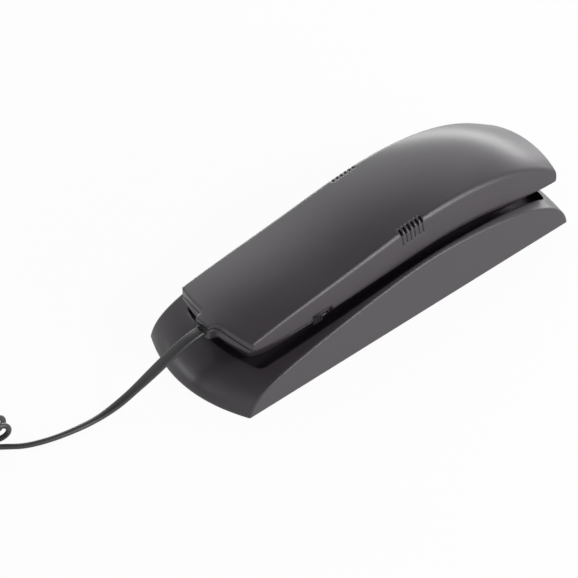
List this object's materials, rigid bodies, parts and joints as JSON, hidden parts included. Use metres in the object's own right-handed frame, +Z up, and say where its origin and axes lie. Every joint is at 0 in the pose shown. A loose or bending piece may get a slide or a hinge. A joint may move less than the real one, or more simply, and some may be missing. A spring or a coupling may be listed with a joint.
{
  "type": "slimline wall telephone",
  "caption": "Slim corded telephone with a crowned handset lying in a trough base, keypad in the handset's face, hook button, slide switch and a curly cord.",
  "frame": {"origin": "under the middle of the base, at table height (feet at z 0)", "axes": "+X across the telephone, +Y along it from the mouth and cord end to the ear end, +Z up"},
  "size_m": [0.1073, 0.3648, 0.0494],
  "materials": {
    "charcoal_plastic": "satin, fine grain",
    "key_plastic": "satin",
    "foot_rubber": "matte",
    "membrane_rubber": "matte",
    "screw_steel": "satin",
    "spring_steel": "drawn wire",
    "circuit_board": "lacquered",
    "component_black": "moulded",
    "socket_plastic": "moulded",
    "contact_brass": "bright",
    "capsule_steel": "satin",
    "microphone_can": "satin",
    "ringer_brass": "satin",
    "clear_plastic": "clear, polished",
    "cord_vinyl": "soft sheen"
  },
  "bodies": {
    "base": {"base_shell": "charcoal_plastic", "bottom_plate": "charcoal_plastic", "feet": "foot_rubber", "base_screws": "screw_steel", "base_board": "circuit_board", "base_board_screws": "screw_steel", "base_board_parts": "component_black", "line_socket": "socket_plastic", "cord_socket": "socket_plastic", "socket_contacts": "contact_brass", "hanger_tab": "charcoal_plastic", "hook_switch": "component_black", "hook_spring": "spring_steel", "handset_lead": "cord_vinyl", "curly_cord": "cord_vinyl", "cord_tail": "cord_vinyl", "base_plug": "clear_plastic"},
    "handset": {"handset_back": "charcoal_plastic", "handset_face": "charcoal_plastic", "handset_screws": "screw_steel", "handset_board": "circuit_board", "handset_board_screws": "screw_steel", "handset_board_parts": "component_black", "key_membrane": "membrane_rubber", "ear_capsule": "capsule_steel", "microphone": "microphone_can", "microphone_boot": "membrane_rubber", "ringer": "ringer_brass", "slide_switch": "component_black", "handset_jack": "socket_plastic", "handset_plug": "clear_plastic"},
    "hook_button": {"hook_plunger": "key_plastic"},
    "ringer_knob": {"slide_knob": "key_plastic"},
    "button_mute": {"key_mute": "key_plastic"},
    "button_redial": {"key_redial": "key_plastic"},
    "button_flash": {"key_flash": "key_plastic"},
    "button_1": {"key_1": "key_plastic"},
    "button_2": {"key_2": "key_plastic"},
    "button_3": {"key_3": "key_plastic"},
    "button_4": {"key_4": "key_plastic"},
    "button_5": {"key_5": "key_plastic"},
    "button_6": {"key_6": "key_plastic"},
    "button_7": {"key_7": "key_plastic"},
    "button_8": {"key_8": "key_plastic"},
    "button_9": {"key_9": "key_plastic"},
    "button_star": {"key_star": "key_plastic"},
    "button_0": {"key_0": "key_plastic"},
    "button_hash": {"key_hash": "key_plastic"}
  },
  "joints": [
    {"name": "handset_lift", "type": "slide", "parent": "base", "child": "handset", "axis": [0, 0, 1], "range_m": [0, 0.06]},
    {"name": "hook_press", "type": "slide", "parent": "base", "child": "hook_button", "axis": [0, 0, 1], "range_m": [0, 0.004], "deforming": ["hook_spring"]},
    {"name": "ringer_slide", "type": "slide", "parent": "handset", "child": "ringer_knob", "axis": [0, 1, 0], "range_m": [0, 0.005]},
    {"name": "key_mute_press", "type": "slide", "parent": "handset", "child": "button_mute", "axis": [0, 0, 1], "range_m": [0, 0.001], "stiffness_N_per_m": 300, "springref_m": -0.001},
    {"name": "key_redial_press", "type": "slide", "parent": "handset", "child": "button_redial", "axis": [0, 0, 1], "range_m": [0, 0.001], "stiffness_N_per_m": 300, "springref_m": -0.001},
    {"name": "key_flash_press", "type": "slide", "parent": "handset", "child": "button_flash", "axis": [0, 0, 1], "range_m": [0, 0.001], "stiffness_N_per_m": 300, "springref_m": -0.001},
    {"name": "key_1_press", "type": "slide", "parent": "handset", "child": "button_1", "axis": [0, 0, 1], "range_m": [0, 0.001], "stiffness_N_per_m": 300, "springref_m": -0.001},
    {"name": "key_2_press", "type": "slide", "parent": "handset", "child": "button_2", "axis": [0, 0, 1], "range_m": [0, 0.001], "stiffness_N_per_m": 300, "springref_m": -0.001},
    {"name": "key_3_press", "type": "slide", "parent": "handset", "child": "button_3", "axis": [0, 0, 1], "range_m": [0, 0.001], "stiffness_N_per_m": 300, "springref_m": -0.001},
    {"name": "key_4_press", "type": "slide", "parent": "handset", "child": "button_4", "axis": [0, 0, 1], "range_m": [0, 0.001], "stiffness_N_per_m": 300, "springref_m": -0.001},
    {"name": "key_5_press", "type": "slide", "parent": "handset", "child": "button_5", "axis": [0, 0, 1], "range_m": [0, 0.001], "stiffness_N_per_m": 300, "springref_m": -0.001},
    {"name": "key_6_press", "type": "slide", "parent": "handset", "child": "button_6", "axis": [0, 0, 1], "range_m": [0, 0.001], "stiffness_N_per_m": 300, "springref_m": -0.001},
    {"name": "key_7_press", "type": "slide", "parent": "handset", "child": "button_7", "axis": [0, 0, 1], "range_m": [0, 0.001], "stiffness_N_per_m": 300, "springref_m": -0.001},
    {"name": "key_8_press", "type": "slide", "parent": "handset", "child": "button_8", "axis": [0, 0, 1], "range_m": [0, 0.001], "stiffness_N_per_m": 300, "springref_m": -0.001},
    {"name": "key_9_press", "type": "slide", "parent": "handset", "child": "button_9", "axis": [0, 0, 1], "range_m": [0, 0.001], "stiffness_N_per_m": 300, "springref_m": -0.001},
    {"name": "key_star_press", "type": "slide", "parent": "handset", "child": "button_star", "axis": [0, 0, 1], "range_m": [0, 0.001], "stiffness_N_per_m": 300, "springref_m": -0.001},
    {"name": "key_0_press", "type": "slide", "parent": "handset", "child": "button_0", "axis": [0, 0, 1], "range_m": [0, 0.001], "stiffness_N_per_m": 300, "springref_m": -0.001},
    {"name": "key_hash_press", "type": "slide", "parent": "handset", "child": "button_hash", "axis": [0, 0, 1], "range_m": [0, 0.001], "stiffness_N_per_m": 300, "springref_m": -0.001}
  ],
  "couplings": [
    {"joint": "hook_press", "follows": "handset_lift", "ratio": 0.06666}
  ]
}
